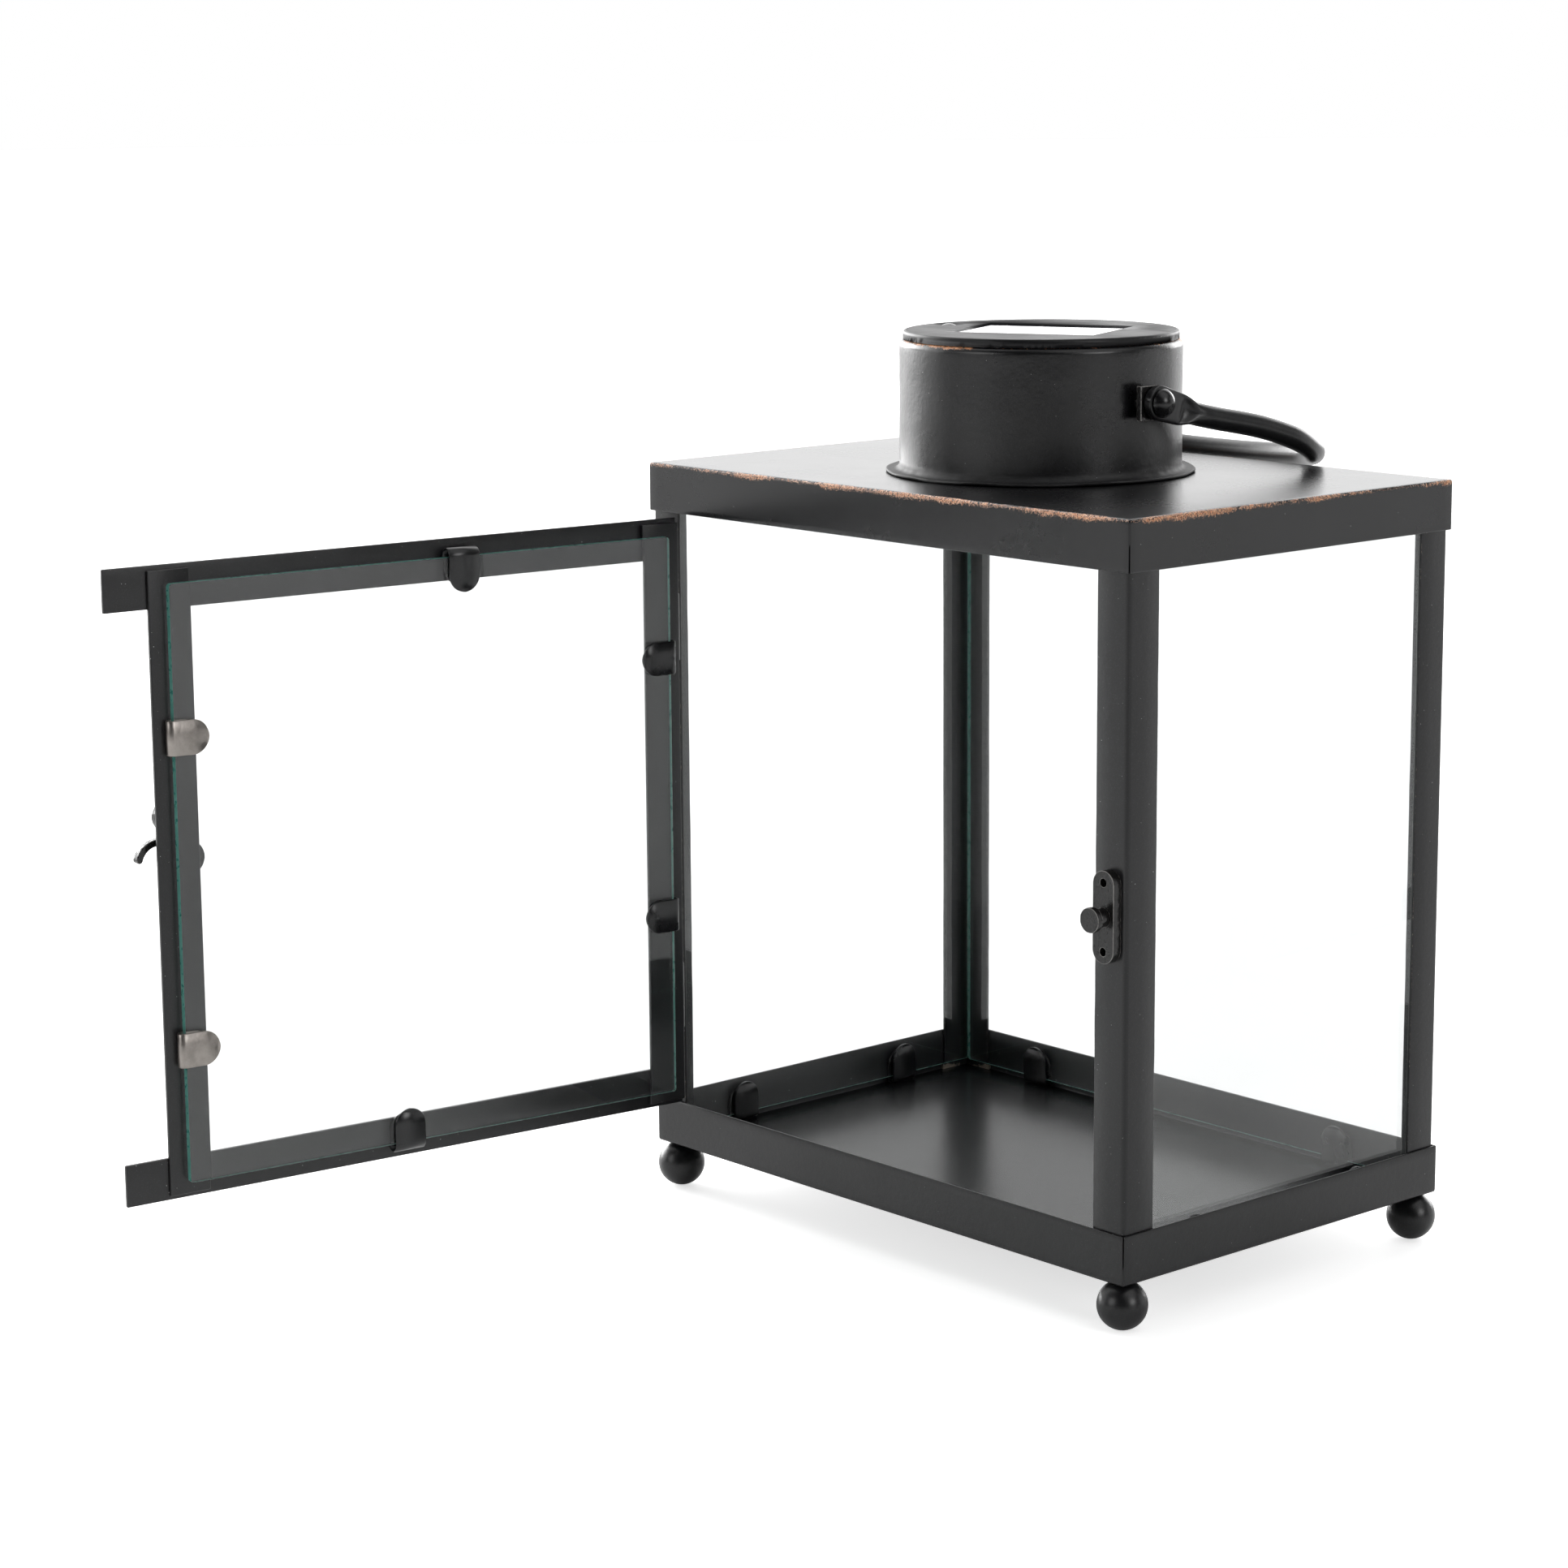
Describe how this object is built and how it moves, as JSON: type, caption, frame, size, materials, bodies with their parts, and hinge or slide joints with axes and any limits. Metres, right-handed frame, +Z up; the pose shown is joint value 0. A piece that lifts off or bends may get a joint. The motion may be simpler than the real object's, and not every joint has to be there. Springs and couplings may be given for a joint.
{
  "type": "solar lantern",
  "caption": "Rectangular glazed metal lantern on ball feet, with a hinged glass door, a lever latch, a round collar, a swinging bail handle and a lift-out solar light lid.",
  "frame": {"origin": "the middle of the body's plan, on the plane that the four ball feet stand on", "axes": "+Z up; +X along the front from the hinge side to the latch side; -Y is the door side, so +Y points to the back"},
  "size_m": [0.2562, 0.4045, 0.321],
  "materials": {
    "black_paint": "semi-gloss black paint over mild steel sheet",
    "collar_paint": "semi-gloss black paint over spun steel",
    "handle_paint": "semi-gloss black paint over steel tube",
    "clip_paint": "satin black paint over steel strip",
    "door_clip_metal": "thin brown-grey lacquer over steel strip",
    "latch_metal": "worn satin black paint over cast metal",
    "hinge_metal": "satin black paint over folded steel",
    "clear_glass": "clear float glass with a teal-green edge",
    "lid_plastic": "smooth black moulding",
    "button_plastic": "smooth black rubbery button",
    "solar_glass": "dark blue-black cells under a clear gloss face",
    "switch_plastic": "matt black switch body",
    "board_green": "green solder mask on glass-fibre board",
    "battery_sleeve": "shrink sleeve over a steel can",
    "contact_steel": "nickel-plated spring steel",
    "led_epoxy": "clear epoxy",
    "lens_plastic": "milky diffusing plastic",
    "screw_steel": "zinc-plated steel"
  },
  "bodies": {
    "body": {"base_tray": "black_paint", "post_front_left": "black_paint", "post_front_right": "black_paint", "post_back_left": "black_paint", "post_back_right": "black_paint", "roof_cap": "black_paint", "foot_front_left": "black_paint", "foot_front_right": "black_paint", "foot_back_left": "black_paint", "foot_back_right": "black_paint", "pane_left": "clear_glass", "pane_right": "clear_glass", "pane_back": "clear_glass", "pane_clips_left": "clip_paint", "pane_clips_right": "clip_paint", "pane_clips_back": "clip_paint", "collar": "collar_paint", "handle_lug_left": "black_paint", "handle_lug_right": "black_paint", "handle_rivets": "black_paint", "catch_plate": "latch_metal", "catch_pin": "latch_metal", "hinge_frame_leaf_upper": "hinge_metal", "hinge_frame_leaf_lower": "hinge_metal", "hinge_pins": "hinge_metal"},
    "door": {"door_rail_top": "black_paint", "door_rail_bottom": "black_paint", "door_stile_hinge": "black_paint", "door_stile_latch": "black_paint", "door_glass": "clear_glass", "door_clips": "door_clip_metal", "hinge_door_leaf_upper": "hinge_metal", "hinge_door_leaf_lower": "hinge_metal", "latch_boss": "latch_metal", "latch_rivet": "latch_metal"},
    "latch": {"latch_lever": "latch_metal"},
    "handle": {"bail_handle": "handle_paint"},
    "solar_unit": {"solar_lid": "lid_plastic", "solar_cell": "solar_glass", "light_housing": "lid_plastic", "button_switch": "switch_plastic", "circuit_board": "board_green", "battery": "battery_sleeve", "battery_contacts": "contact_steel", "battery_cover": "lid_plastic", "led": "led_epoxy", "led_lens": "lens_plastic", "housing_screws": "screw_steel"},
    "button": {"push_button": "button_plastic"}
  },
  "joints": [
    {"name": "door_hinge", "type": "hinge", "parent": "body", "child": "door", "pos_m": [-0.10475, -0.082, 0.1439], "axis": [0, 0, 1], "range_deg": [-78, 96.3]},
    {"name": "latch_pivot", "type": "hinge", "parent": "door", "child": "latch", "pos_m": [-0.12788, -0.28242, 0.167], "axis": [-0.994, 0.1097, 0], "range_deg": [-20, 75]},
    {"name": "handle_pivot", "type": "hinge", "parent": "body", "child": "handle", "pos_m": [0, 0, 0.2984], "axis": [1, 0, 0], "range_deg": [0, 211.92]},
    {"name": "solar_unit_lift", "type": "slide", "parent": "body", "child": "solar_unit", "axis": [0, 0, 1], "range_m": [0, 0.06]},
    {"name": "button_press", "type": "slide", "parent": "solar_unit", "child": "button", "axis": [0, 0, -1], "range_m": [0, 0.0008], "stiffness_N_per_m": 400}
  ]
}
